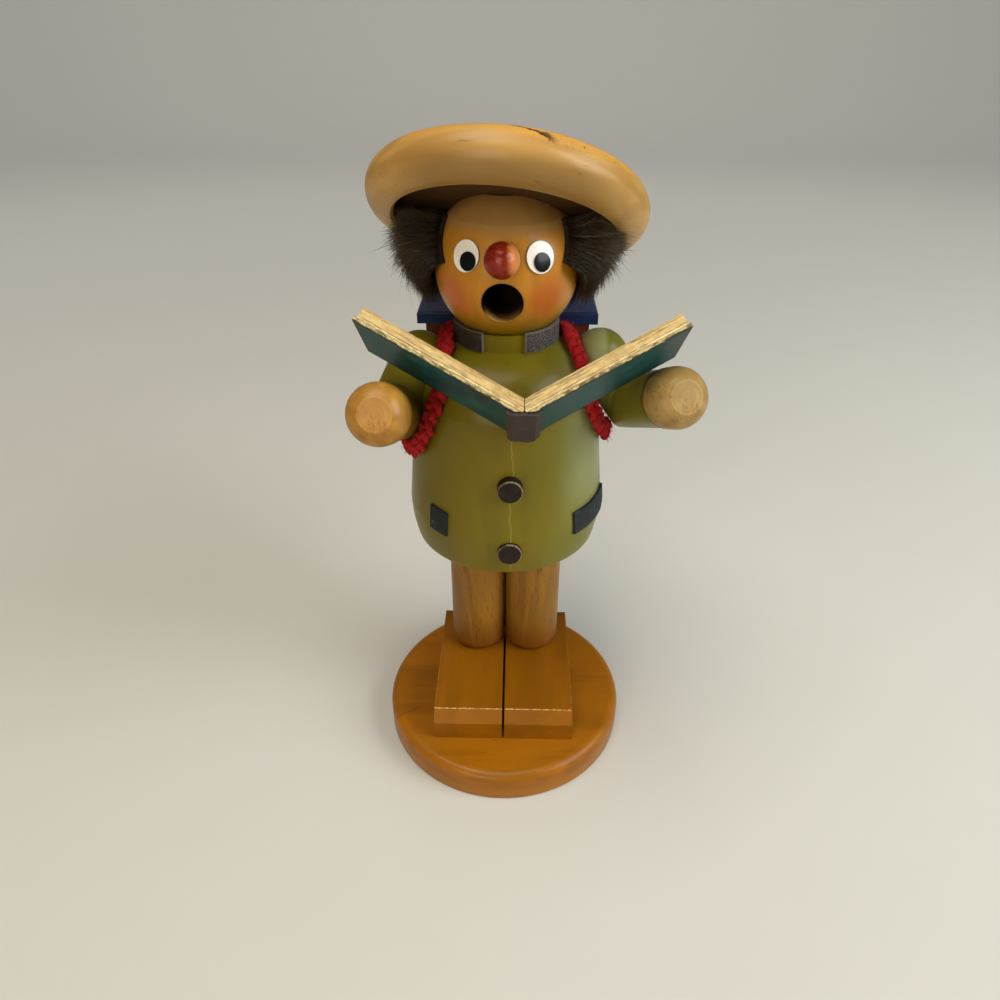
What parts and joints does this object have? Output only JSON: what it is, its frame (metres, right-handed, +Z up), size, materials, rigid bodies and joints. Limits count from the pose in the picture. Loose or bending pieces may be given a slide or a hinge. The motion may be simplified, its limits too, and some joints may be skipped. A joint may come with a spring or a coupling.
{
  "type": "incense smoker figure",
  "caption": "Turned wooden incense smoker: a wanderer in a tipped wide hat reads an open book, with a rucksack; the hollow coat lifts off a peg that holds the incense cone.",
  "frame": {"origin": "centre of the base plate's underside", "axes": "+Z up along the figure, -Y is the way the figure looks, +X to the viewer's right"},
  "size_m": [0.0806, 0.0833, 0.1676],
  "materials": {
    "stained_beech": "amber-brown stained beech, satin",
    "brown_leg_wood": "brown stained beech with dark flecks, satin",
    "dowel_wood": "bare beech dowel",
    "tin": "pressed tin sheet",
    "nail_steel": "plain steel nail",
    "olive_lacquer": "olive-yellow lacquer on turned wood, satin",
    "collar_leather": "thin brown leather",
    "button_brown": "dark brown turned wood, lacquered",
    "pocket_leather": "dark brown leather strip",
    "pale_hand_wood": "pale natural wood, satin",
    "amber_head_wood": "amber natural wood, satin",
    "red_lacquer": "glossy red lacquer on wood",
    "eye_white": "white paint, gloss",
    "pupil_black": "black paint, gloss",
    "fur": "dark brown fur on leather",
    "hat_wood": "light natural wood, satin",
    "book_green": "teal-green paint on a thin board, worn",
    "page_gold": "gold-cream painted block with fine page lines",
    "spine_leather": "grey-brown suede leather",
    "red_wool": "chunky red wool braid",
    "pack_brown": "red-brown painted wood, satin",
    "lid_blue": "navy blue painted wood, satin"
  },
  "bodies": {
    "stand": {"base_plate": "stained_beech", "left_shoe": "stained_beech", "right_shoe": "stained_beech", "left_leg": "brown_leg_wood", "right_leg": "brown_leg_wood", "ankle_dowels": "dowel_wood", "hip_dowels": "dowel_wood", "hip_plug": "brown_leg_wood", "cone_dish": "tin", "dish_nail": "nail_steel"},
    "figure": {"coat": "olive_lacquer", "collar": "collar_leather", "upper_button": "button_brown", "lower_button": "button_brown", "left_pocket": "pocket_leather", "right_pocket": "pocket_leather", "left_upper_arm": "olive_lacquer", "right_upper_arm": "olive_lacquer", "left_forearm": "olive_lacquer", "right_forearm": "olive_lacquer", "left_hand": "pale_hand_wood", "right_hand": "pale_hand_wood", "shoulder_pegs": "dowel_wood", "book_left_cover": "book_green", "book_left_pages": "page_gold", "book_right_cover": "book_green", "book_right_pages": "page_gold", "book_spine": "spine_leather", "left_strap": "red_wool", "right_strap": "red_wool", "pack_body": "pack_brown", "pack_lid": "lid_blue"},
    "head": {"head": "amber_head_wood", "nose": "red_lacquer", "left_eye": "eye_white", "right_eye": "eye_white", "left_pupil": "pupil_black", "right_pupil": "pupil_black", "hair": "fur", "hat": "hat_wood"}
  },
  "joints": [
    {"name": "coat_lift", "type": "slide", "parent": "stand", "child": "figure", "axis": [0, 0, 1], "range_m": [0, 0.04]},
    {"name": "head_turn", "type": "hinge", "parent": "figure", "child": "head", "pos_m": [0, 0.0125, 0.1222], "axis": [0, 0, 1], "range_deg": [-45, 45]}
  ]
}
